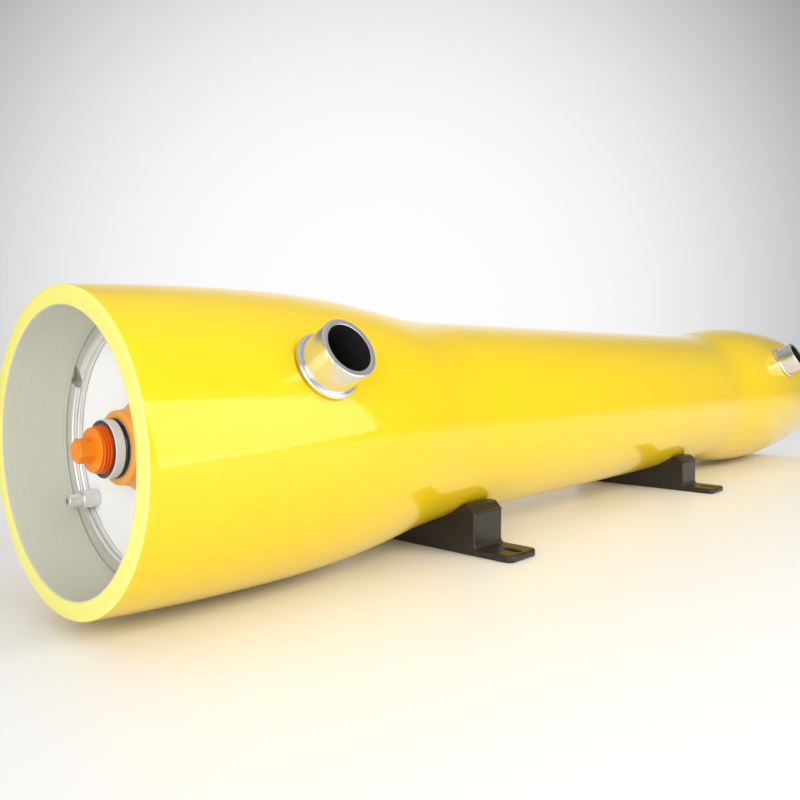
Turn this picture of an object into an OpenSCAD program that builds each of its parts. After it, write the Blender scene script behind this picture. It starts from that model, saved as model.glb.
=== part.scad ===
// Membrane pressure vessel: a filament-wound tube with a bell at each end, side ports,
// two saddles and a closed head at each end.
// X runs along the vessel, Z is up, and the side ports are on the -Y side.
// The origin is on the floor, at the centre of the near saddle's foot. All sizes are in mm.

/* [Vessel shell] */
// Length over both end faces
vessel_length = 1580; // [1300:10:2600]
// Inside diameter of the lined bore
bore_d = 202; // [198:1:204]
// Wall between the two bells
barrel_wall = 15; // [12:0.5:17]
// Outside diameter at the end face
face_d = 260; // [254:1:266]
// Greatest outside diameter of a bell
bell_d = 273; // [270:1:280]
// Distance of the greatest diameter from the face
bell_peak = 172; // [150:1:200]
// Distance from the face where the bell turns from convex to hollow
bell_turn = 335; // [310:1:350]
// Distance from the face where the bell has run out into the barrel
bell_length = 428; // [405:1:460]
// Rounding of the end face's edges
face_round = 2; // [1:0.5:5]
// Clear diameter of the mouth in front of the end plate
mouth_d = 228; // [224:1:232]
// Space between the bells and the floor
floor_gap = 5.5; // [3:0.5:12]

/* [Saddles] */
// Length of a saddle along the vessel
saddle_l = 52; // [40:1:64]
// How far a saddle reaches back over the end of the bell
saddle_lap = 22; // [4:1:30]
// Distance between the two saddles
saddle_pitch = 568; // [480:1:640]
// Width over the feet
foot_w = 288; // [272:1:310]
// Thickness of the feet
foot_t = 8; // [6:0.5:12]
// Rounding of the feet's corners, seen from above
foot_corner = 8; // [4:0.5:12]
// Width over the saddle's upright walls
cradle_w = 192; // [184:1:200]
// Height from the saddle's horns up to the vessel's axis
horn_drop = 87; // [78:1:92]
// Slope of the horns' outer corner
horn_chamfer = 8; // [4:0.5:10]
// Width of a foot's slot
slot_w = 9; // [7:0.5:12]
// Length of a foot's slot over its round ends
slot_l = 26; // [18:1:30]
// Foot left beyond the end of a slot
slot_margin = 4; // [3:0.5:6]

/* [Side ports] */
// Distance of a port's axis from the end face
port_from_face = 170; // [164:1:180]
// Angle of a port above the horizontal
port_angle = 29.2; // [0:0.1:60]
// Outside diameter of a port
port_d = 54; // [48:0.5:58]
// Bore of a port
port_bore_d = 42.8; // [34:0.2:43.4]
// Length of a port beyond the flat around it
port_stand = 34; // [24:1:50]
// Depth of the flat spot face around a port
spot_depth = 2.5; // [2:0.1:4]
// Diameter of the spot face
spot_d = 65; // [64:0.5:72]
// Radial width of the inner flange
port_flange_w = 7; // [4:0.5:9]
// Thickness of the inner flange
port_flange_t = 8; // [5:0.5:10]
// Wire diameter of the snap ring
snap_wire_d = 5.6; // [4:0.2:5.8]
// Angle of the snap ring's gap
snap_gap = 60; // [20:1:80]
// Section of a port's sealing ring
port_seal_d = 3.9; // [3:0.1:4.2]

/* [Head] */
// Distance of the retaining ring from the end face
ring_depth = 57; // [50:1:60]
// Thickness of one turn of the retaining ring
ring_turn = 5.5; // [5:0.5:8]
// Inside diameter of the retaining ring
ring_in_d = 206; // [202:1:210]
// Depth of the retaining ring's groove
ring_groove = 6; // [4:0.5:8]
// Rounding of the retaining ring's edges
ring_round = 2.5; // [1:0.25:2.5]
// Angle of the ring's step above the horizontal
ring_step = 27; // [0:1:60]
// Thickness of the end plate
plate_t = 22; // [16:1:24]
// Thickness of the sealing plate
seal_plate_t = 26; // [20:1:28]
// Section of the head seal
head_seal_d = 6; // [5:0.1:6.6]
// Diameter of the lock bush
bush_d = 16; // [14:0.5:18]
// Height of the lock bush
bush_h = 16; // [13:0.5:20]
// Angle of the lock bush below the horizontal
bush_angle = 34; // [20:1:60]
// Thread diameter of the lock screw
screw_d = 6.8; // [5:0.2:8]
// Diameter of the lock screw's head
screw_head_d = 12.4; // [11:0.2:13.6]
// Height of the lock screw's head
screw_head_h = 12; // [8:0.5:14]
// Depth of the lock screw in the end plate
screw_grip = 14; // [10:1:15]

/* [Permeate port] */
// Outside diameter of the permeate port
permeate_d = 48.3; // [46:0.1:50]
// Length of the port's end collar
collar_l = 8; // [6:0.5:12]
// Section of the sealing ring behind the collar
collar_seal_d = 3.8; // [3:0.1:4]
// Height of the port nut
nut_h = 22; // [18:0.5:26]
// Diameter of the nut's front
nut_d = 62; // [58:0.5:68]
// Diameter of the nut's base
nut_base_d = 76; // [72:0.5:96]
// Diameter of the flow bore
flow_d = 22; // [18:0.5:24]
// Thickness of the inner flange
inner_flange_t = 7; // [5:0.5:9]
// Width of the inner flange
inner_flange_w = 9; // [6:0.5:12]
// Section of the seal in the sealing plate
stem_seal_d = 4; // [3:0.1:4.6]

/* [Plug] */
// Thread diameter of the plug
plug_d = 38.8; // [36:0.1:39]
// Diameter of the plug's plain front
plug_face_d = 36.4; // [32:0.2:37]
// Length of the plug outside the port
plug_out = 9; // [6:0.5:14]
// Length of the plug inside the port
plug_in = 23; // [18:0.5:26]
// Width across the flats of the plug's hexagon
hex_w = 18; // [15:0.5:21]
// Length of the plug's hexagon
hex_l = 13; // [10:0.5:16]

/* [Element adapter] */
// Outside diameter of the adapter
adapter_d = 28.2; // [26:0.1:30]
// Bore of the adapter
adapter_bore_d = 19; // [14:0.5:20]
// Length of each end of the adapter
adapter_end = 30; // [26:0.5:36]
// Section of the adapter's seals
adapter_seal_d = 2.6; // [2:0.1:3]

/* [Fits] */
// Running clearance on radius between pieces that seat in each other
fit_gap = 0.3; // [0.2:0.05:0.5]
// Clearance on radius around the plates
plate_gap = 0.4; // [0.3:0.05:0.6]
// Room on each side of a sealing ring in its groove
seal_room = 0.25; // [0.15:0.05:0.4]

/* [Hidden] */

$fn = 96;
eps = 0.01;
cut = 1;

// Shell
bore_r = bore_d / 2;
barrel_r = bore_r + barrel_wall;
face_r = face_d / 2;
bell_r = bell_d / 2;
mouth_r = mouth_d / 2;
axis_h = bell_r + floor_gap;
bell_steps = 12;
near_saddle_x = bell_length - saddle_lap + saddle_l / 2;
near_face_x = -near_saddle_x;
far_face_x = near_face_x + vessel_length;

// Saddles, and the distance of each one's outer side from the nearer end face
slot_pitch = foot_w - 2 * slot_margin - slot_l;
near_saddle_side = near_saddle_x - saddle_l / 2;
far_saddle_side = vessel_length - near_saddle_x - saddle_pitch - saddle_l / 2;

// Head, as depths from the end face
ring_out_r = mouth_r + ring_groove - fit_gap;
ring_in_r = ring_in_d / 2;
plate_front = ring_depth + 2 * ring_turn;
plate_back = plate_front + plate_t;
seal_plate_back = plate_back + seal_plate_t;
head_seal_z = plate_back + seal_plate_t / 2;
groove_r = bore_r - plate_gap - head_seal_d - seal_room;
bush_place_r = ring_in_r - bush_d / 2 - fit_gap;
screw_r = screw_d / 2;

// Permeate port, as depths from the end face
permeate_r = permeate_d / 2;
nut_front = plate_front - nut_h;
collar_groove_w = collar_seal_d + 2 * seal_room;
collar_back = nut_front - collar_groove_w;
port_mouth = collar_back - collar_l;
socket_r = plug_d / 2 + fit_gap;
collar_groove_r = permeate_r + 0.75 - collar_seal_d;
socket_back = port_mouth + plug_in + 5;
stem_groove_r = permeate_r + plate_gap / 2 + stem_seal_d + seal_room;
stem_seal_z = plate_back + seal_plate_t / 2;
inner_flange_back = seal_plate_back + inner_flange_t;
adapter_r = adapter_d / 2;
adapter_start = inner_flange_back + 4;
adapter_mid = adapter_start + adapter_end;
adapter_lip = 4;
adapter_finish = adapter_mid + adapter_lip + adapter_end;
adapter_seal_r = adapter_r + fit_gap - seal_room / 2 - adapter_seal_d / 2;
adapter_seal_z = [
    adapter_start + adapter_end * 0.35, adapter_start + adapter_end * 0.7,
    adapter_finish - adapter_end * 0.7, adapter_finish - adapter_end * 0.35
];

// Side ports, as distances from the vessel's axis
port_r = port_d / 2;
spot_z = bell_r - spot_depth;
port_mouth_z = spot_z + port_stand;
port_flange_r = port_r + port_flange_w;
port_flange_z = bore_r + 3;
port_seat_z = port_flange_z + port_flange_t;
snap_r = snap_wire_d / 2;
snap_ring_r = port_r + 1;
snap_z = spot_z + snap_r + 0.2;
port_seal_r = port_r + fit_gap - seal_room / 2 - port_seal_d / 2;
port_seal_z = port_seat_z + 7;

// Outside radius of the shell at a distance from its nearer end face
bell_drop = bell_r - barrel_r;
bell_bulge = bell_drop / ((bell_turn - bell_peak) * (bell_length - bell_peak));
bell_hollow = bell_bulge * (bell_turn - bell_peak) / (bell_length - bell_turn);
function outside_r(x) =
    x < bell_peak ? bell_r - (bell_r - face_r) * pow((bell_peak - x) / bell_peak, 2)
    : x < bell_turn ? bell_r - bell_bulge * pow(x - bell_peak, 2)
    : x < bell_length ? barrel_r + bell_hollow * pow(bell_length - x, 2)
    : barrel_r;
function steps(from, to, count) = [for (i = [1 : count]) from + (to - from) * i / count];
function arc(centre, r, from, to, count) = [
    for (i = [0 : count])
        let (a = from + (to - from) * i / count)
            [centre[0] + r * cos(a), centre[1] + r * sin(a)]
];
function flipped(points) = [
    for (i = [len(points) - 1 : -1 : 0]) [points[i][0], vessel_length - points[i][1]]
];

// Outline of one end of the shell, from the middle of the bore round the face to the barrel
function shell_end() = concat(
    [
        [bore_r, plate_back + 6],
        [bore_r + 1.5, plate_back],
        [mouth_r, plate_back],
        [mouth_r, plate_front + fit_gap],
        [mouth_r + ring_groove, plate_front + fit_gap],
        [mouth_r + ring_groove, ring_depth - fit_gap],
        [mouth_r, ring_depth - fit_gap]
    ],
    arc([mouth_r + face_round, face_round], face_round, 180, 270, 5),
    arc([face_r - face_round, face_round], face_round, 270, 360, 5),
    [for (x = steps(face_round, bell_peak, 9)) [outside_r(x), x]],
    [for (x = steps(bell_peak, bell_turn, bell_steps)) [outside_r(x), x]],
    [for (x = steps(bell_turn, bell_length, bell_steps)) [outside_r(x), x]]
);

// Places: local Z runs into the vessel from an end face, or outward along a port
module at_near() {
    translate([near_face_x, 0, axis_h]) rotate([90, 0, 90]) children();
}
module at_far() {
    translate([far_face_x, 0, axis_h]) rotate([0, 0, 180]) rotate([90, 0, 90]) children();
}
module at_near_port() {
    translate([near_face_x + port_from_face, 0, axis_h]) rotate([90 - port_angle, 0, 0]) children();
}
module at_far_port() {
    translate([far_face_x - port_from_face, 0, axis_h]) rotate([90 - port_angle, 0, 0]) children();
}

// A ring of round section
module round_ring(r, section_d, z) {
    translate([0, 0, z]) rotate_extrude() translate([r, 0]) circle(d = section_d, $fn = 32);
}

// Wound tube with its liner: stepped mouths, ring grooves and port holes
module shell() {
    color("gold") difference() {
        at_near() rotate_extrude($fn = 144) polygon(concat(shell_end(), flipped(shell_end())));
        at_near_port() port_hole();
        at_far_port() port_hole();
    }
}
module port_hole() {
    translate([0, 0, bore_r / 2]) cylinder(r = port_r + fit_gap, h = bell_r);
    translate([0, 0, bore_r / 2]) cylinder(r = port_flange_r + fit_gap, h = port_seat_z - bore_r / 2);
    translate([0, 0, spot_z]) cylinder(d = spot_d, h = 20);
}

// Moulded saddle: a cradle for a shell of the given radius, on two slotted feet
module saddle_shape(shell_r) {
    intersection() {
        translate([saddle_l / 2, 0, 0]) rotate([90, 0, -90]) linear_extrude(saddle_l) saddle_outline(shell_r);
        linear_extrude(axis_h) difference() {
            saddle_plan();
            for (side = [-1, 1]) translate([0, side * slot_pitch / 2]) slot();
        }
    }
}
module saddle_outline(shell_r) {
    fillet = 5;
    half = cradle_w / 2;
    horn_z = axis_h - horn_drop;
    difference() {
        union() {
            translate([-half, 0]) square([cradle_w, horn_z - horn_chamfer]);
            polygon([
                [-half, horn_z - horn_chamfer - eps], [half, horn_z - horn_chamfer - eps],
                [half - horn_chamfer, horn_z], [-half + horn_chamfer, horn_z]
            ]);
            for (side = [-1, 1]) {
                translate([side * (foot_w / 2 - foot_t / 2), foot_t / 2]) circle(d = foot_t, $fn = 32);
                translate([side > 0 ? half - cut : -foot_w / 2 + foot_t / 2, 0])
                    square([foot_w / 2 - foot_t / 2 - half + cut, foot_t]);
                translate([side > 0 ? foot_w / 2 - foot_t / 2 - cut : -foot_w / 2, 0])
                    square([foot_t / 2 + cut, foot_t / 2]);
                difference() {
                    translate([side > 0 ? half - cut : -half - fillet, foot_t - cut])
                        square([fillet + cut, fillet + cut]);
                    translate([side * (half + fillet), foot_t + fillet]) circle(r = fillet, $fn = 48);
                }
            }
        }
        translate([0, axis_h]) circle(r = shell_r + fit_gap, $fn = 180);
    }
}
module saddle_plan() {
    square([saddle_l, foot_w - 2 * foot_corner], center = true);
    square([saddle_l - 2 * foot_corner, foot_w], center = true);
    for (x = [-1, 1], y = [-1, 1])
        translate([x * (saddle_l / 2 - foot_corner), y * (foot_w / 2 - foot_corner)]) circle(r = foot_corner);
}
module slot() {
    straight = slot_l - slot_w;
    square([slot_w, straight], center = true);
    for (end = [-1, 1]) translate([0, end * straight / 2]) circle(d = slot_w);
}
module near_saddle() {
    color("dimgray") saddle_shape(outside_r(near_saddle_side));
}
module far_saddle() {
    color("dimgray") translate([saddle_pitch, 0, 0]) saddle_shape(outside_r(far_saddle_side));
}

// Side port: a flanged tube put in from inside and held outside by a snap ring
module side_port_shape() {
    rim = 1;
    difference() {
        rotate_extrude() polygon([
            [port_bore_d / 2 + rim, port_flange_z], [port_flange_r, port_flange_z],
            [port_flange_r, port_seat_z], [port_r, port_seat_z],
            [port_r, port_seal_z - port_seal_d / 2 - seal_room],
            [port_seal_r - port_seal_d / 2 - seal_room / 2, port_seal_z - port_seal_d / 2 - seal_room],
            [port_seal_r - port_seal_d / 2 - seal_room / 2, port_seal_z + port_seal_d / 2 + seal_room],
            [port_r, port_seal_z + port_seal_d / 2 + seal_room],
            [port_r, port_mouth_z - rim], [port_r - rim, port_mouth_z],
            [port_bore_d / 2 + rim / 2, port_mouth_z], [port_bore_d / 2, port_mouth_z - rim / 2],
            [port_bore_d / 2, port_flange_z + rim]
        ]);
        round_ring(snap_ring_r, snap_wire_d + 0.2, snap_z);
    }
}
module side_seal_shape() {
    round_ring(port_seal_r, port_seal_d, port_seal_z);
}
module snap_ring_shape() {
    translate([0, 0, snap_z]) rotate([0, 0, 10])
        rotate_extrude(angle = 360 - snap_gap) translate([snap_ring_r, 0]) circle(d = snap_wire_d, $fn = 32);
}
module near_side_port() {
    color("silver") at_near_port() side_port_shape();
}
module near_side_seal() {
    color("black") at_near_port() side_seal_shape();
}
module near_snap_ring() {
    color("silver") at_near_port() snap_ring_shape();
}
module far_side_port() {
    color("silver") at_far_port() side_port_shape();
}
module far_side_seal() {
    color("black") at_far_port() side_seal_shape();
}
module far_snap_ring() {
    color("silver") at_far_port() snap_ring_shape();
}

// White end plate, held between the retaining ring and the shell's step
module end_plate_shape() {
    edge = 2;
    r = mouth_r - plate_gap;
    difference() {
        rotate_extrude() polygon([
            [permeate_r + plate_gap, plate_front], [r - edge, plate_front], [r, plate_front + edge],
            [r, plate_back], [permeate_r + plate_gap, plate_back]
        ]);
        at_lock() translate([0, 0, plate_front - cut])
            cylinder(r = screw_r + fit_gap, h = screw_grip + 2 + cut);
    }
}

// Sealing plate behind it, in the lined bore
module sealing_plate_shape() {
    edge = 2;
    r = bore_r - plate_gap;
    rotate_extrude() polygon([
        [permeate_r + plate_gap, plate_back], [r, plate_back],
        [r, head_seal_z - head_seal_d / 2 - seal_room],
        [groove_r, head_seal_z - head_seal_d / 2 - seal_room],
        [groove_r, head_seal_z + head_seal_d / 2 + seal_room],
        [r, head_seal_z + head_seal_d / 2 + seal_room],
        [r, seal_plate_back - edge], [r - edge, seal_plate_back],
        [permeate_r + plate_gap, seal_plate_back],
        [permeate_r + plate_gap, stem_seal_z + stem_seal_d / 2 + seal_room],
        [stem_groove_r, stem_seal_z + stem_seal_d / 2 + seal_room],
        [stem_groove_r, stem_seal_z - stem_seal_d / 2 - seal_room],
        [permeate_r + plate_gap, stem_seal_z - stem_seal_d / 2 - seal_room]
    ]);
}
module head_seal_shape() {
    round_ring(bore_r - plate_gap / 2 - head_seal_d / 2 - seal_room / 2, head_seal_d, head_seal_z);
}

// Spiral retaining ring: two turns of bar, joined where the front turn dives behind its own start
module ring_section() {
    polygon(concat(
        arc([ring_in_r + ring_round, ring_round], ring_round, 180, 270, 5),
        arc([ring_out_r - ring_round, ring_round], ring_round, 270, 360, 5),
        arc([ring_out_r - ring_round, ring_turn - ring_round], ring_round, 0, 90, 5),
        arc([ring_in_r + ring_round, ring_turn - ring_round], ring_round, 90, 180, 5)
    ));
}
module retaining_ring_shape() {
    gap = 4;
    ramp = 5;
    turn_lap = 0.15;
    ramp_l = (ring_out_r * sin(ramp) + ring_in_r * sin(ramp + gap)) / 2;
    translate([0, 0, ring_depth + ring_turn - turn_lap]) rotate_extrude($fn = 144) ring_section();
    rotate([0, 0, ring_step + gap]) difference() {
        translate([0, 0, ring_depth]) rotate_extrude(angle = 360 - gap, $fn = 144) ring_section();
        rotate([0, 0, ramp]) translate([ring_in_r - ring_turn, -ramp_l, ring_depth])
            rotate([90, 0, 90]) linear_extrude(ring_out_r - ring_in_r + 2 * ring_turn)
                polygon([[0, ring_turn], [ramp_l, 0], [ramp_l, -ring_turn], [0, -ring_turn]]);
    }
}

// Lock bush against the ring's inside, with its screw
module at_lock() {
    rotate([0, 0, -bush_angle]) translate([bush_place_r, 0, 0]) children();
}
module lock_bush_shape() {
    edge = 1;
    r = bush_d / 2;
    at_lock() translate([0, 0, plate_front - bush_h]) rotate_extrude() polygon([
        [screw_r + fit_gap, 0], [r - edge, 0], [r, edge], [r, bush_h - edge], [r - edge, bush_h],
        [screw_r + fit_gap, bush_h]
    ]);
}
module lock_screw_shape() {
    edge = 0.8;
    r = screw_head_d / 2;
    at_lock() translate([0, 0, plate_front - bush_h - screw_head_h]) difference() {
        rotate_extrude() polygon([
            [0, 0], [r - edge, 0], [r, edge], [r, screw_head_h], [screw_r, screw_head_h],
            [screw_r, screw_head_h + bush_h + screw_grip - edge],
            [screw_r - edge, screw_head_h + bush_h + screw_grip],
            [0, screw_head_h + bush_h + screw_grip]
        ]);
        translate([0, 0, -cut]) cylinder(d = screw_head_d / 2, h = cut + screw_head_h / 2, $fn = 6);
    }
}

// Permeate port: a collared tube through both plates, with a socket for the plug
module permeate_port_shape() {
    edge = 0.8;
    rotate_extrude() polygon([
        [socket_r + edge, port_mouth], [permeate_r - edge, port_mouth],
        [permeate_r, port_mouth + edge], [permeate_r, collar_back],
        [collar_groove_r - seal_room, collar_back], [collar_groove_r - seal_room, nut_front],
        [permeate_r, nut_front], [permeate_r, seal_plate_back],
        [permeate_r + inner_flange_w, seal_plate_back],
        [permeate_r + inner_flange_w, inner_flange_back - edge],
        [permeate_r + inner_flange_w - edge, inner_flange_back],
        [adapter_r + 8, inner_flange_back], [adapter_r + 6, inner_flange_back + 2],
        [adapter_r + 6, adapter_mid - fit_gap], [adapter_r + fit_gap, adapter_mid - fit_gap],
        [adapter_r + fit_gap, adapter_start - fit_gap], [flow_d / 2, adapter_start - fit_gap],
        [flow_d / 2, socket_back + 4], [socket_r, socket_back], [socket_r, port_mouth + edge]
    ]);
}
module collar_seal_shape() {
    round_ring(collar_groove_r + collar_seal_d / 2, collar_seal_d, nut_front - collar_groove_w / 2);
}
module stem_seal_shape() {
    round_ring(permeate_r + plate_gap / 2 + stem_seal_d / 2, stem_seal_d, stem_seal_z);
}

// Orange port nut: a round front that flares out to a wide base on the end plate
module port_nut_shape() {
    front_round = 2;
    base_t = 2.5;
    flare_l = nut_h - front_round - base_t;
    flare_w = (nut_base_d - nut_d) / 2;
    rotate_extrude() polygon(concat(
        [[permeate_r + fit_gap, plate_front], [permeate_r + fit_gap, nut_front]],
        arc([nut_d / 2 - front_round, nut_front + front_round], front_round, 270, 360, 4),
        [for (t = steps(0, 1, 8)) [nut_d / 2 + flare_w * pow(t, 2.2), nut_front + front_round + flare_l * t]],
        [[nut_base_d / 2, plate_front]]
    ));
}

// Orange plug: a hexagon on a threaded body, part way out of the port
module plug_shape() {
    edge = 1;
    front = port_mouth - plug_out;
    neck = plug_out * 0.3;
    back = port_mouth + plug_in;
    rotate_extrude() polygon([
        [0, front], [plug_face_d / 2 - edge, front], [plug_face_d / 2, front + edge],
        [plug_face_d / 2, front + neck], [plug_d / 2, front + neck + (plug_d - plug_face_d) / 2],
        [plug_d / 2, back - 2], [plug_d / 2 - 2, back], [0, back]
    ]);
    intersection() {
        translate([0, 0, front - hex_l]) rotate([0, 0, 15])
            cylinder(d = hex_w / cos(30), h = hex_l + edge, $fn = 6);
        rotate_extrude() polygon([
            [0, front - hex_l], [hex_w / 2 - edge / 2, front - hex_l], [hex_w / 2 + edge, front - hex_l + edge],
            [hex_w, front - hex_l + 3 * edge], [hex_w, front + edge], [0, front + edge]
        ]);
    }
}

// Adapter from the permeate port to an element, with its sealing rings
module adapter_shape() {
    edge = 1;
    difference() {
        rotate_extrude() polygon([
            [adapter_bore_d / 2, adapter_start], [adapter_r - edge, adapter_start],
            [adapter_r, adapter_start + edge], [adapter_r, adapter_mid],
            [adapter_r + 4, adapter_mid], [adapter_r + 4, adapter_mid + adapter_lip],
            [adapter_r, adapter_mid + adapter_lip], [adapter_r, adapter_finish - edge],
            [adapter_r - edge, adapter_finish], [adapter_bore_d / 2, adapter_finish]
        ]);
        for (z = adapter_seal_z) translate([0, 0, z]) rotate_extrude() {
            translate([adapter_seal_r - adapter_seal_d / 2 - seal_room / 2, -adapter_seal_d / 2 - seal_room])
                square([adapter_seal_d + 2, adapter_seal_d + 2 * seal_room]);
        }
    }
}
module adapter_seals_shape() {
    for (z = adapter_seal_z) round_ring(adapter_seal_r, adapter_seal_d, z);
}

module near_end_plate() { color("whitesmoke") at_near() end_plate_shape(); }
module near_sealing_plate() { color("gainsboro") at_near() sealing_plate_shape(); }
module near_head_seal() { color("black") at_near() head_seal_shape(); }
module near_retaining_ring() { color("silver") at_near() retaining_ring_shape(); }
module near_lock_bush() { color("darkgray") at_near() lock_bush_shape(); }
module near_lock_screw() { color("silver") at_near() lock_screw_shape(); }
module near_permeate_port() { color("lightgray") at_near() permeate_port_shape(); }
module near_collar_seal() { color("black") at_near() collar_seal_shape(); }
module near_port_nut() { color("sandybrown") at_near() port_nut_shape(); }
module near_stem_seal() { color("black") at_near() stem_seal_shape(); }
module near_plug() { color("darkorange") at_near() plug_shape(); }
module near_adapter() { color("whitesmoke") at_near() adapter_shape(); }
module near_adapter_seals() { color("black") at_near() adapter_seals_shape(); }
module far_end_plate() { color("whitesmoke") at_far() end_plate_shape(); }
module far_sealing_plate() { color("gainsboro") at_far() sealing_plate_shape(); }
module far_head_seal() { color("black") at_far() head_seal_shape(); }
module far_retaining_ring() { color("silver") at_far() retaining_ring_shape(); }
module far_lock_bush() { color("darkgray") at_far() lock_bush_shape(); }
module far_lock_screw() { color("silver") at_far() lock_screw_shape(); }
module far_permeate_port() { color("lightgray") at_far() permeate_port_shape(); }
module far_collar_seal() { color("black") at_far() collar_seal_shape(); }
module far_port_nut() { color("sandybrown") at_far() port_nut_shape(); }
module far_stem_seal() { color("black") at_far() stem_seal_shape(); }
module far_plug() { color("darkorange") at_far() plug_shape(); }
module far_adapter() { color("whitesmoke") at_far() adapter_shape(); }
module far_adapter_seals() { color("black") at_far() adapter_seals_shape(); }

shell();
near_saddle();
far_saddle();
near_side_port();
near_side_seal();
near_snap_ring();
far_side_port();
far_side_seal();
far_snap_ring();
near_end_plate();
near_sealing_plate();
near_head_seal();
near_retaining_ring();
near_lock_bush();
near_lock_screw();
near_permeate_port();
near_collar_seal();
near_port_nut();
near_stem_seal();
near_plug();
near_adapter();
near_adapter_seals();
far_end_plate();
far_sealing_plate();
far_head_seal();
far_retaining_ring();
far_lock_bush();
far_lock_screw();
far_permeate_port();
far_collar_seal();
far_port_nut();
far_stem_seal();
far_plug();
far_adapter();
far_adapter_seals();
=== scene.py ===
# A membrane pressure vessel on a pale studio floor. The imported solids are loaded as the
# fixed frame: X runs along the vessel from the near end, Z is up, side ports look to -Y.
import math

import bpy
from mathutils import Matrix, Vector


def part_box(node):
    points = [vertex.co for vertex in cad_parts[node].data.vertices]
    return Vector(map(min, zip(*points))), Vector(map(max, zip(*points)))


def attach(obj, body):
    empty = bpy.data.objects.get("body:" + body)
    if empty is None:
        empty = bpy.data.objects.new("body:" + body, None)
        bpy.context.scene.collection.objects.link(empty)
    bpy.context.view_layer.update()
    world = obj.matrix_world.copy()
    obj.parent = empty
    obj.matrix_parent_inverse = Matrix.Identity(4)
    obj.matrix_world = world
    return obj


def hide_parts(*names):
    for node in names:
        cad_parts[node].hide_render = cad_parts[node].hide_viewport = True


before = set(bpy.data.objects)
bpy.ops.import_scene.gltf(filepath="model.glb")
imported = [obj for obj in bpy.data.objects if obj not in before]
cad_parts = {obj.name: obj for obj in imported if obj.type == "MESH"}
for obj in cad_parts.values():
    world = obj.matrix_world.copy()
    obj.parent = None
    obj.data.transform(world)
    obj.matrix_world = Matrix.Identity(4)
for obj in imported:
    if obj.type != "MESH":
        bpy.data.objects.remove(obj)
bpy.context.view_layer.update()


# Camera
# It stands off the near end on the port side, a little above the vessel's axis.
bpy.ops.object.select_all(action="DESELECT")
bpy.ops.object.camera_add(
    location=(-0.69412, -0.59285, 0.21380),
    rotation=(math.radians(90) - 0.0518, 0, -0.8341),
)
camera = bpy.context.object
camera.name = "camera"
camera.data.sensor_width = 36
camera.data.lens = 34.65
camera.data.clip_start = 0.02
camera.data.clip_end = 60
bpy.context.scene.camera = camera
bpy.context.scene.view_settings.view_transform = "Standard"


# Shell
# A tube of glass fibre wound on a mandrel, swelling into a thick bell at each end, with a
# grey lined bore, a cut and sealed end face and a glossy yellow gel coat.
class Shade:
    """One output of a material's nodes. Sums and products of it add Math nodes."""

    def __init__(self, tree, socket=None):
        self.tree = tree
        self.socket = socket

    def node(self, kind, settings=None, values=None, output=0):
        made = self.tree.nodes.new("ShaderNode" + kind)
        for name, value in (settings or {}).items():
            setattr(made, name, value)
        for name, value in (values or {}).items():
            if isinstance(value, Shade):
                self.tree.links.new(value.socket, made.inputs[name])
            else:
                made.inputs[name].default_value = value
        return Shade(self.tree, made.outputs[output])

    def maths(self, operation, first, second=0.0):
        return self.node("Math", {"operation": operation}, {0: first, 1: second})

    def __add__(self, other):
        return self.maths("ADD", self, other)

    def __sub__(self, other):
        return self.maths("SUBTRACT", self, other)

    def __rsub__(self, other):
        return self.maths("SUBTRACT", other, self)

    def __mul__(self, other):
        return self.maths("MULTIPLY", self, other)

    def __pow__(self, other):
        return self.maths("POWER", self, other)

    __radd__ = __add__
    __rmul__ = __mul__

    def between(self, low, high):
        """0 below low, 1 above high, smooth between them; the other way if low is the larger."""
        settings = {"interpolation_type": "SMOOTHSTEP"}
        values = {"Value": self, "From Min": min(low, high), "From Max": max(low, high)}
        rise = self.node("MapRange", settings, values)
        return 1 - rise if low > high else rise

    def mix(self, factor, first, second):
        """A colour that goes from first to second with the factor."""
        return self.node("Mix", {"data_type": "RGBA"}, {0: factor, 6: first, 7: second}, output=2)

    def noise(self, place, scale, detail=2.0):
        """Soft clouds over a place, or rings along a distance."""
        if place.socket.type == "VECTOR":
            return self.node("TexNoise", None, {"Vector": place, "Scale": scale, "Detail": detail})
        settings = {"noise_dimensions": "1D"}
        return self.node("TexNoise", settings, {"W": place, "Scale": scale, "Detail": detail})

    def bump(self, height, distance, strength=1.0):
        return self.node("Bump", None, {"Height": height, "Distance": distance, "Strength": strength})


def finish(name, roughness=0.5, metallic=0.0, coat_roughness=0.03):
    """A new material with a Principled shader, and the start of its node expressions."""
    material = bpy.data.materials.new(name)
    material.use_nodes = True
    shader = material.node_tree.nodes["Principled BSDF"]
    shader.inputs["Roughness"].default_value = roughness
    shader.inputs["Metallic"].default_value = metallic
    shader.inputs["Coat Roughness"].default_value = coat_roughness
    return material, Shade(material.node_tree), shader


def feed(shader, socket, shade):
    """Links a node expression to one of a shader's inputs."""
    shade.tree.links.new(shade.socket, shader.inputs[socket])


def select_only(piece):
    """Makes a piece the active one, and the only one selected."""
    bpy.ops.object.select_all(action="DESELECT")
    bpy.context.view_layer.objects.active = piece
    piece.select_set(True)


def drawn(name, points):
    """A chain of edges through the points, left open in Edit Mode."""
    bpy.ops.object.select_all(action="DESELECT")
    bpy.ops.mesh.primitive_plane_add(size=0.001, location=points[0])
    piece = bpy.context.object
    piece.name = name
    bpy.ops.object.transform_apply(location=True, rotation=True, scale=True)
    bpy.ops.object.mode_set(mode="EDIT")
    bpy.ops.mesh.select_mode(type="VERT")
    bpy.ops.mesh.select_all(action="SELECT")
    bpy.ops.mesh.merge(type="CENTER")
    for here, there in zip(points, points[1:]):
        bpy.ops.mesh.extrude_vertices_move(TRANSFORM_OT_translate={"value": there - here})
    bpy.ops.mesh.select_all(action="SELECT")
    return piece


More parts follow.
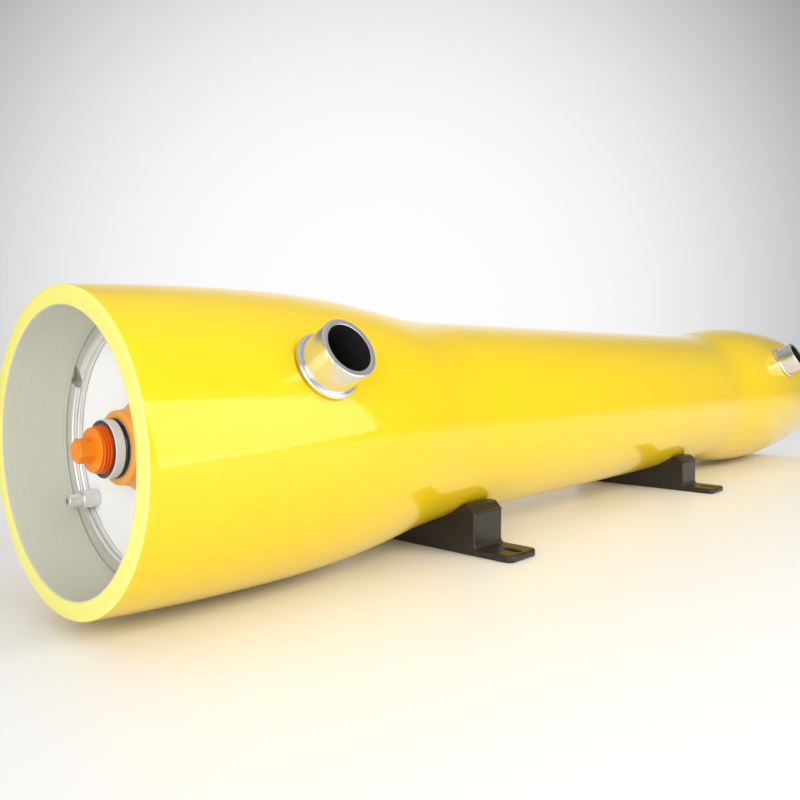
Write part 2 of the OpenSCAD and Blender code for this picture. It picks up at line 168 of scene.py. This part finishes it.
def turned(name, centre, axis, side, stations, steps):
    """A turned piece: its outline of (along, radius) stations is drawn, then spun."""
    centre = Vector(centre)
    axis = Vector(axis).normalized()
    side = Vector(side).normalized()
    piece = drawn(name, [centre + axis * along + side * radius for along, radius in stations])
    bpy.ops.mesh.spin(steps=steps, angle=math.tau, center=centre, axis=axis)
    bpy.ops.mesh.select_all(action="SELECT")
    bpy.ops.mesh.remove_doubles(threshold=0.000002)
    bpy.ops.mesh.normals_make_consistent(inside=False)
    bpy.ops.object.mode_set(mode="OBJECT")
    bpy.ops.object.shade_smooth_by_angle(angle=math.radians(24))
    return piece


def round_corner(along, radius, size, start, stop, count=5):
    """Stations of a rounded corner about its centre, from one angle in degrees to another."""
    turns = [math.radians(start + (stop - start) * i / count) for i in range(count + 1)]
    return [(along + size * math.sin(turn), radius + size * math.cos(turn)) for turn in turns]


def combine(piece, other, operation):
    """Cuts another piece out of this one, or joins it on, and deletes the other."""
    select_only(piece)
    change = piece.modifiers.new("combine", "BOOLEAN")
    change.object = other
    change.operation = operation
    change.solver = "EXACT"
    bpy.ops.object.modifier_apply(modifier=change.name)
    bpy.data.objects.remove(other)


shell_low, shell_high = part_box("shell")
near_face = shell_low.x
far_face = shell_high.x
length = far_face - near_face
axis_height = 0.142
near_centre = Vector((near_face, 0, axis_height))
bore = 0.101
barrel = 0.116
mouth = 0.114
face = 0.130
bell = 0.1365
bell_peak = 0.172
bell_turn = 0.335
bell_end = 0.428
bulge = (bell - barrel) / ((bell_turn - bell_peak) * (bell_end - bell_peak))
hollow = bulge * (bell_turn - bell_peak) / (bell_end - bell_turn)


def outside(along):
    """Outside radius of the shell at a distance from its nearer end face."""
    if along < bell_peak:
        return bell - (bell - face) * ((bell_peak - along) / bell_peak) ** 2
    if along < bell_turn:
        return bell - bulge * (along - bell_peak) ** 2
    if along < bell_end:
        return barrel + hollow * (bell_end - along) ** 2
    return barrel


edge = 0.002
bore_start = 0.096
mouth_depth = 0.090
groove_front = 0.0567
groove_back = 0.0683
groove = mouth + 0.006
one_end = [(bore_start, bore), (mouth_depth, bore + 0.0015), (mouth_depth, mouth)]
one_end += [(groove_back, mouth), (groove_back, groove), (groove_front, groove)]
one_end += [(groove_front, mouth), (0.03, mouth)]
one_end += round_corner(edge, mouth + edge, edge, 180, 270)
one_end += round_corner(edge, face - edge, edge, 270, 360)
one_end += [(along / 1000, outside(along / 1000)) for along in range(6, 430, 6)]
other_end = [(length - along, radius) for along, radius in reversed(one_end)]
middle = [(bell_end + 0.04 * step, barrel) for step in range(1, 18)]
inside = [(length - bore_start - 0.04 * step, bore) for step in range(1, 34)]
outline = one_end + middle + other_end + inside + one_end[:1]
shell = turned("shell_coat", near_centre, (1, 0, 0), (0, 0, 1), outline, 192)

port_angle = math.radians(29.2)
port_way = Vector((0, -math.cos(port_angle), math.sin(port_angle)))
port_from_face = 0.170
port_foot = near_centre + Vector((port_from_face, 0, 0))
port_pitch = Vector((length - 2 * port_from_face, 0, 0))
hole = [(0.06, 0), (0.06, 0.0343), (0.112, 0.0343), (0.112, 0.0273), (0.134, 0.0273)]
hole += [(0.134, 0.0325), (0.165, 0.0325), (0.165, 0)]
for foot in (port_foot, port_foot + port_pitch):
    cutter = turned("port_cutter", foot, port_way, (1, 0, 0), hole, 96)
    combine(shell, cutter, "DIFFERENCE")
bpy.ops.object.shade_smooth_by_angle(angle=math.radians(24))


def vessel_place(shade):
    """Place on the vessel, depth in from the nearer end face, and distance from the vessel's axis."""
    place = shade.node("TexCoord", output=3)
    across = shade.node("SeparateXYZ", None, {0: place}, output=1)
    height = shade.node("SeparateXYZ", None, {0: place}, output=2) - axis_height
    along = shade.node("SeparateXYZ", None, {0: place}, output=0)
    depth = length / 2 - shade.maths("ABSOLUTE", along - (near_face + far_face) / 2)
    return place, depth, (across * across + height * height) ** 0.5


gel_coat, paint, shader = finish("yellow_gel_coat", coat_roughness=0.07)
shader.inputs["Specular IOR Level"].default_value = 0.1
shader.inputs["Coat IOR"].default_value = 1.55
place, depth, radius = vessel_place(paint)
at_face = depth.between(0.0025, 0.0012)
in_groove = depth.between(0.04, 0.045) * depth.between(0.11, 0.1) * radius.between(0.1225, 0.1215)
in_mouth = paint.maths("MAXIMUM", radius.between(mouth + 0.0014, mouth + 0.0004), in_groove)
cloud = paint.noise(place, 5.0, 3.0)
layers = paint.noise(radius, 900.0, 3.0)
turning = paint.noise(depth, 420.0, 3.0)
yellow = paint.mix(cloud, (0.85, 0.585, 0.003, 1), (0.89, 0.62, 0.005, 1))
pale = paint.mix(layers, (0.92, 0.84, 0.17, 1), (0.98, 0.93, 0.27, 1))
grey = paint.mix(turning, (0.57, 0.585, 0.48, 1), (0.615, 0.63, 0.525, 1))
colour = paint.mix(in_mouth, paint.mix(at_face, yellow, pale), grey)
feed(shader, "Base Color", colour)
feed(shader, "Roughness", 0.3 + in_mouth * 0.15 + at_face * 0.15)
feed(shader, "Coat Weight", 0.8 - in_mouth * 0.55 - at_face * 0.45)
peel = paint.noise(place, 260.0)
wave = paint.noise(place, 14.0)
relief = peel * 0.06 + wave * 0.5 + in_mouth * turning * 0.05 + at_face * layers * 0.25
feed(shader, "Normal", paint.bump(relief, 0.0002, 0.4))
shell.data.materials.append(gel_coat)
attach(shell, "vessel")
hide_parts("shell")


# Saddles
# Each is one black moulding with soft edges, a cradle on two slotted feet, and the shell
# lies in it.
def merged_copy(node):
    """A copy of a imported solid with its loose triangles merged."""
    piece = bpy.data.objects.new(node + "_finished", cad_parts[node].data.copy())
    piece.data.materials.clear()
    bpy.context.collection.objects.link(piece)
    select_only(piece)
    bpy.ops.mesh.customdata_custom_splitnormals_clear()
    bpy.ops.object.mode_set(mode="EDIT")
    bpy.ops.mesh.select_all(action="SELECT")
    bpy.ops.mesh.remove_doubles(threshold=0.000002)
    bpy.ops.mesh.dissolve_limited(angle_limit=math.radians(0.2))
    bpy.ops.object.mode_set(mode="OBJECT")
    bpy.ops.object.shade_smooth_by_angle(angle=math.radians(24))
    return piece


def soften(piece, size, sharper_than=40):
    """Rounds every edge that is sharper than an angle."""
    select_only(piece)
    bpy.ops.object.mode_set(mode="EDIT")
    bpy.ops.mesh.select_mode(type="EDGE")
    bpy.ops.mesh.select_all(action="DESELECT")
    bpy.ops.mesh.edges_select_sharp(sharpness=math.radians(sharper_than))
    bpy.ops.mesh.bevel(offset=size, segments=3, clamp_overlap=False)
    bpy.ops.object.mode_set(mode="OBJECT")
    bpy.ops.object.shade_smooth_by_angle(angle=math.radians(40))


moulding, tint, shader = finish("saddle_moulding")
place = tint.node("TexCoord", output=3)
grain = tint.noise(place, 900.0)
cloud = tint.noise(place, 30.0, 4.0)
feed(shader, "Base Color", tint.mix(cloud, (0.012, 0.010, 0.008, 1), (0.028, 0.024, 0.020, 1)))
feed(shader, "Roughness", 0.24 + cloud * 0.14)
feed(shader, "Normal", tint.bump(grain, 0.00005, 0.4))
for end in ("near", "far"):
    saddle = merged_copy(end + "_saddle")
    soften(saddle, 0.0018)
    saddle.data.materials.append(moulding)
    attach(saddle, "vessel")
    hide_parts(end + "_saddle")


# Side ports
# Polished stainless tubes, put in through the wall from inside, with painted shade in the bore, which
# is coloured near black. Each has a flange against the liner, a rounded rim outside and a groove
# for the wire ring that holds it.
port_outside = 0.027
port_bore = 0.0214
port_mouth = 0.168
rim = 0.0014
lip = 0.0009
port_outline = [(0.104, port_bore + 0.001), (0.104, 0.0335), (0.1045, 0.034), (0.112, 0.034)]
port_outline += [(0.112, port_outside), (0.1168, port_outside), (0.1168, 0.0231)]
port_outline += [(0.1212, 0.0231), (0.1212, port_outside)]
port_outline += round_corner(0.137, 0.028, 0.0029, 249.8, 110.2, 8)
port_outline += round_corner(port_mouth - rim, port_outside - rim, rim, 0, 90)
port_outline += round_corner(port_mouth - lip, port_bore + lip, lip, 90, 180)
port_outline += [(0.105, port_bore), (0.104, port_bore + 0.001)]
near_port = turned("near_port_tube", port_foot, port_way, (1, 0, 0), port_outline, 128)


def copied(piece, name, move):
    """A copy with its own mesh, moved by a matrix."""
    copy = bpy.data.objects.new(name, piece.data.copy())
    copy.data.transform(move)
    bpy.context.collection.objects.link(copy)
    return copy


stainless, steel, shader = finish("polished_stainless")
place, depth, radius = vessel_place(steel)
height = steel.node("VectorMath", {"operation": "DOT_PRODUCT"}, {0: place, 1: port_way}, output=1)
height = height - axis_height * port_way.z
aside = depth - port_from_face
from_axis = (radius * radius - height * height + aside * aside) ** 0.5
# Painted shade: the bore is coloured near black and not metallic, for the dark inside of the tube.
bore_painted_shade = from_axis.between(port_bore + 0.0005, port_bore + 0.0001)
rings = steel.noise(height, 2600.0, 3.0)
smear = steel.noise(place, 60.0, 4.0)
polished = steel.mix(smear, (0.72, 0.71, 0.70, 1), (0.84, 0.83, 0.82, 1))
feed(shader, "Base Color", steel.mix(bore_painted_shade, polished, (0.018, 0.017, 0.017, 1)))
feed(shader, "Metallic", 0.85 - bore_painted_shade * 0.85)
feed(shader, "Roughness", 0.16 + smear * 0.08 + rings * 0.05 + bore_painted_shade * 0.12)
feed(shader, "Normal", steel.bump(rings, 0.00002, 0.3))
near_port.data.materials.append(stainless)
far_port = copied(near_port, "far_port_tube", Matrix.Translation(port_pitch))
for end, tube in (("near", near_port), ("far", far_port)):
    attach(tube, "vessel")
    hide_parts(end + "_side_port")

bright, wire, shader = finish("bright_wire", metallic=0.85)
place = wire.node("TexCoord", output=3)
smear = wire.noise(place, 120.0, 4.0)
feed(shader, "Base Color", wire.mix(smear, (0.78, 0.78, 0.77, 1), (0.90, 0.90, 0.89, 1)))
feed(shader, "Roughness", 0.16 + smear * 0.14)
for end in ("near", "far"):
    ring = merged_copy(end + "_snap_ring")
    soften(ring, 0.0005)
    ring.data.materials.append(bright)
    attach(ring, "vessel")
    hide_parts(end + "_snap_ring")


# End plates
# Thick white discs, smooth and slightly glossy, with the sealing plates of the same stock
# behind them in the lined bore.
def dress(material, *nodes):
    """Gives a material to carried-over solids."""
    for name in nodes:
        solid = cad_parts[name]
        solid.data.materials.clear()
        solid.data.materials.append(material)


white, plate_tint, shader = finish("white_plate")
place, depth, radius = vessel_place(plate_tint)
cloud = plate_tint.noise(place, 25.0, 3.0)
facing = plate_tint.noise(radius, 700.0, 2.0)
feed(shader, "Base Color", plate_tint.mix(cloud, (0.96, 0.96, 0.96, 1), (0.99, 0.99, 0.99, 1)))
feed(shader, "Roughness", 0.26 + cloud * 0.12)
feed(shader, "Normal", plate_tint.bump(facing, 0.00002, 0.3))
dress(white, "near_end_plate", "far_end_plate", "near_sealing_plate", "far_sealing_plate")


# Retaining rings
# Two turns of bright stainless bar, coiled into the groove in front of the end plate.
coiled, bar, shader = finish("coiled_stainless", metallic=0.85)
place, depth, radius = vessel_place(bar)
streaks = bar.noise(radius + depth, 1500.0, 3.0)
smear = bar.noise(place, 70.0, 4.0)
feed(shader, "Base Color", bar.mix(smear, (0.76, 0.76, 0.74, 1), (0.88, 0.88, 0.86, 1)))
feed(shader, "Roughness", 0.24 + smear * 0.12 + streaks * 0.06)
feed(shader, "Normal", bar.bump(streaks, 0.00002, 0.3))
for end in ("near", "far"):
    ring = merged_copy(end + "_retaining_ring")
    ring.data.materials.append(coiled)
    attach(ring, "vessel")
    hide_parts(end + "_retaining_ring")


# Ring locks
# A turned bush stands inside each ring's step and keeps it from coiling in. A socket screw
# holds the bush to the end plate.
lock_steel, lock_tint, shader = finish("turned_lock_steel", metallic=0.75)
place, depth, radius = vessel_place(lock_tint)
rings = lock_tint.noise(depth, 1800.0, 3.0)
smear = lock_tint.noise(place, 150.0, 3.0)
feed(shader, "Base Color", lock_tint.mix(smear, (0.70, 0.70, 0.69, 1), (0.82, 0.82, 0.81, 1)))
feed(shader, "Roughness", 0.3 + smear * 0.1 + rings * 0.1)
feed(shader, "Normal", lock_tint.bump(rings, 0.00003, 0.3))
for end in ("near", "far"):
    bush = merged_copy(end + "_lock_bush")
    soften(bush, 0.0003)
    bush.data.materials.append(lock_steel)
    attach(bush, "vessel")
    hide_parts(end + "_lock_bush")

lock_angle = math.radians(34)
lock_radius = 0.0947
lock_place = near_centre + lock_radius * Vector((0, math.cos(lock_angle), -math.sin(lock_angle)))
screw_outline = [(0.040, 0), (0.040, 0.0050)] + round_corner(0.0412, 0.0050, 0.0012, 270, 360)
screw_outline += [(0.0502, 0.0062), (0.0508, 0.0056), (0.0520, 0.0056), (0.0520, 0.0034)]
screw_outline += [(0.081, 0.0034), (0.0818, 0.0026), (0.0818, 0)]
near_screw = turned("near_screw_turned", lock_place, (1, 0, 0), (0, 0, 1), screw_outline, 64)
socket = [(0.035, 0), (0.035, 0.0031), (0.046, 0.0031), (0.0465, 0)]
combine(near_screw, turned("screw_socket", lock_place, (1, 0, 0), (0, 0, 1), socket, 6), "DIFFERENCE")
bpy.ops.object.shade_smooth_by_angle(angle=math.radians(24))
near_screw.data.materials.append(lock_steel)
half_turn = Matrix.Translation(((near_face + far_face) / 2, 0, 0)) @ Matrix.Rotation(math.pi, 4, "Z")
half_turn = half_turn @ Matrix.Translation((-(near_face + far_face) / 2, 0, 0))
far_screw = copied(near_screw, "far_screw_turned", half_turn)
for end, screw in (("near", near_screw), ("far", far_screw)):
    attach(screw, "vessel")
    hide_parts(end + "_lock_screw")


# Permeate ports
# Pale machined tubes through both plates. The collar in front is painted near black on its front
# ring round the plug's socket, and the orange nut screws the tube up against the end plate.
collar_mouth = 0.0337
pale_plastic, tube_tint, shader = finish("pale_port_plastic")
place, depth, radius = vessel_place(tube_tint)
cloud = tube_tint.noise(place, 50.0, 3.0)
turning = tube_tint.noise(depth, 1500.0, 3.0)
# The collar's front ring round the plug's socket is painted near black.
dark_front_ring_mask = depth.between(collar_mouth + 0.0012, collar_mouth + 0.0004) * radius.between(0.0236, 0.0232)
dark_front_ring_mask = dark_front_ring_mask * radius.between(0.0199, 0.0203)
light = tube_tint.mix(cloud, (0.66, 0.65, 0.64, 1), (0.78, 0.77, 0.76, 1))
feed(shader, "Base Color", tube_tint.mix(dark_front_ring_mask, light, (0.05, 0.045, 0.045, 1)))
feed(shader, "Roughness", 0.3 + cloud * 0.1)
feed(shader, "Normal", tube_tint.bump(turning, 0.00003, 0.3))
nut_orange, nut_tint, shader = finish("orange_nut")
place, depth, radius = vessel_place(nut_tint)
cloud = nut_tint.noise(place, 40.0, 3.0)
grain = nut_tint.noise(place, 1200.0)
feed(shader, "Base Color", nut_tint.mix(cloud, (0.95, 0.36, 0.035, 1), (1.0, 0.42, 0.06, 1)))
feed(shader, "Roughness", 0.36 + cloud * 0.12)
feed(shader, "Normal", nut_tint.bump(grain, 0.00003, 0.35))
for end in ("near", "far"):
    for node, material, slot in (
        ("permeate_port", pale_plastic, "port_grey"),
        ("port_nut", nut_orange, "nut_orange"),
    ):
        piece = merged_copy(end + "_" + node)
        piece.data.materials.append(material)
        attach(piece, "vessel")
        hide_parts(end + "_" + node)


# Plugs
# An orange moulding, part way out of the port: a hexagon for the spanner on a plain disc, and
# a threaded body with a helical ridge.
plug_front = 0.0247
plug_back = 0.0567
core = 0.0180
crest = 0.01935
thread_pitch = 0.0026
thread_turns = 10
body = [(plug_front, 0), (plug_front, 0.0172)]
body += round_corner(plug_front + 0.001, 0.0172, 0.001, 270, 360)
body += [(0.0259, 0.0182), (0.0261, core), (0.0547, core), (plug_back, 0.0174), (plug_back, 0)]
near_plug = turned("near_plug_threaded", near_centre, (1, 0, 0), (0, 0, 1), body, 96)

hexagon = [(0.0117, 0), (0.0117, 0.0088), (0.0129, 0.0104), (0.0257, 0.0104), (0.0257, 0)]
corner_angle = math.radians(15)
corner_way = (0, math.cos(corner_angle), math.sin(corner_angle))
spanner_head = turned("spanner_head", near_centre, (1, 0, 0), corner_way, hexagon, 6)
soften(spanner_head, 0.0005)
combine(near_plug, spanner_head, "UNION")

ridge_start = 0.0261
ridge = [(0, core - 0.0003), (0.0009, crest), (0.0013, crest), (0.0023, core - 0.0003)]
thread = drawn("thread", [Vector((ridge_start + along, 0, radius)) for along, radius in ridge])
bpy.ops.mesh.edge_face_add()
bpy.ops.mesh.delete(type="ONLY_FACE")
bpy.ops.object.mode_set(mode="OBJECT")
winding = thread.modifiers.new("thread", "SCREW")
winding.axis = "X"
winding.screw_offset = thread_pitch
winding.iterations = thread_turns
winding.steps = 64
winding.render_steps = 64
bpy.ops.object.modifier_apply(modifier=winding.name)
bpy.ops.object.mode_set(mode="EDIT")
bpy.ops.mesh.select_all(action="SELECT")
bpy.ops.mesh.fill_holes(sides=4)
bpy.ops.mesh.select_all(action="SELECT")
bpy.ops.mesh.normals_make_consistent(inside=False)
bpy.ops.object.mode_set(mode="OBJECT")
thread.location = near_centre
bpy.ops.object.transform_apply(location=True, rotation=True, scale=True)
combine(near_plug, thread, "UNION")
bpy.ops.object.shade_smooth_by_angle(angle=math.radians(30))

plug_orange, plug_tint, shader = finish("orange_plug")
shader.inputs["Specular IOR Level"].default_value = 0.3
place, depth, radius = vessel_place(plug_tint)
cloud = plug_tint.noise(place, 40.0, 3.0)
grain = plug_tint.noise(place, 1400.0)
orange = plug_tint.mix(cloud, (0.93, 0.235, 0.006, 1), (0.99, 0.30, 0.012, 1))
# Painted shade: the threaded part of the body is coloured a deeper red, for the shade inside the
# collar.
thread_painted_shade = depth.between(0.0258, 0.0264)
feed(shader, "Base Color", plug_tint.mix(thread_painted_shade, orange, (0.85, 0.13, 0.01, 1)))
feed(shader, "Roughness", 0.34 + cloud * 0.12)
feed(shader, "Normal", plug_tint.bump(grain, 0.00003, 0.3))
near_plug.data.materials.append(plug_orange)
far_plug = copied(near_plug, "far_plug_threaded", half_turn)
for end, plug in (("near", near_plug), ("far", far_plug)):
    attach(plug, end + "_plug")
    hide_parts(end + "_plug")


# Seals and adapters
# Black rubber rings in every groove, and the pale tubes that join each permeate port to an
# element inside.
seal, seal_tint, shader = finish("seal_rubber")
place = seal_tint.node("TexCoord", output=3)
cloud = seal_tint.noise(place, 80.0, 3.0)
feed(shader, "Base Color", seal_tint.mix(cloud, (0.006, 0.006, 0.006, 1), (0.014, 0.014, 0.014, 1)))
feed(shader, "Roughness", 0.12 + cloud * 0.1)
for end in ("near", "far"):
    for name in ("side_seal", "head_seal", "collar_seal", "stem_seal", "adapter_seals"):
        dress(seal, end + "_" + name)
dress(pale_plastic, "near_adapter", "far_adapter")


# Studio
# A pale floor under soft light: a large panel above, a fill off the near end, one on the port
# side and one behind. A long panel only shows, as a mirror image on the near bell.
bpy.ops.object.select_all(action="DESELECT")
bpy.ops.mesh.primitive_plane_add(size=1, location=(0.4, 0.4, 0))
floor = bpy.context.object
floor.name = "floor"
floor.scale = (14, 14, 1)
bpy.ops.object.transform_apply(location=True, rotation=True, scale=True)
floor_white, floor_tint, shader = finish("studio_floor", 0.4)
place = floor_tint.node("TexCoord", output=3)
cloud = floor_tint.noise(place, 0.6)
feed(shader, "Base Color", floor_tint.mix(cloud, (0.91, 0.91, 0.91, 1), (0.93, 0.93, 0.93, 1)))
floor.data.materials.append(floor_white)

world = bpy.data.worlds.new("studio")
bpy.context.scene.world = world
world.use_nodes = True
sky = Shade(world.node_tree)
background = world.node_tree.nodes["Background"]
way = sky.node("TexCoord", output=0)
behind = (0.7226, 0.6902, 0.0388)
towards = sky.node("VectorMath", {"operation": "DOT_PRODUCT"}, {0: way, 1: behind}, output=1)
wall = sky.mix(towards.between(0.75, 1.0), (0.185, 0.19, 0.195, 1), (0.985, 0.985, 0.985, 1))
upward = sky.node("SeparateXYZ", None, {0: way}, output=2)
wall = sky.mix(upward.between(0.5, 0.9), wall, (0.5, 0.5, 0.5, 1))
to_camera = sky.node("LightPath", output=0)
wall = sky.mix(towards.between(0.75, 0.4) * to_camera, wall, (0.62, 0.62, 0.62, 1))
mirrored = sky.node("LightPath", output=3)
through = sky.node("LightPath", output=6)
seen = sky.maths("MAXIMUM", sky.maths("MAXIMUM", to_camera, mirrored), through)
feed(background, "Color", sky.mix(seen, (0.46, 0.46, 0.46, 1), wall))


def softbox(name, place, target, size, power, roll=0.0, shows=True, lights=True):
    """A panel of light: glossy pieces mirror one that shows, and one that lights falls on them all."""
    bpy.ops.object.select_all(action="DESELECT")
    bpy.ops.object.light_add(type="AREA", location=place)
    lamp = bpy.context.object
    lamp.name = name
    lamp.data.shape = "RECTANGLE"
    lamp.data.size, lamp.data.size_y = size
    lamp.data.energy = power
    aim = (Vector(target) - Vector(place)).to_track_quat("-Z", "Y").to_matrix()
    lamp.rotation_euler = (aim @ Matrix.Rotation(math.radians(roll), 3, "Z")).to_euler()
    lamp.visible_glossy = shows
    lamp.visible_diffuse = lights


softbox("overhead", (-0.4, -0.6, 2.6), (-0.2, -0.3, 0), (3.0, 3.0), 15, shows=False)
softbox("window", (0.62, -1.24, 0.51), (0.92, -0.28, 0.51), (1.62, 0.82), 10, roll=8, lights=False)
softbox("fill", (-1.8, -1.1, 0.65), (-0.4, 0, 0.1), (1.2, 1.2), 20)
softbox("rear", (1.5, 2.0, 1.7), (0.5, 0, 0.1), (2.2, 1.6), 20, shows=False)
softbox("port_side", (0.6, -2.2, 1.4), (0.5, 0, 0.1), (2.0, 1.0), 35, shows=False)
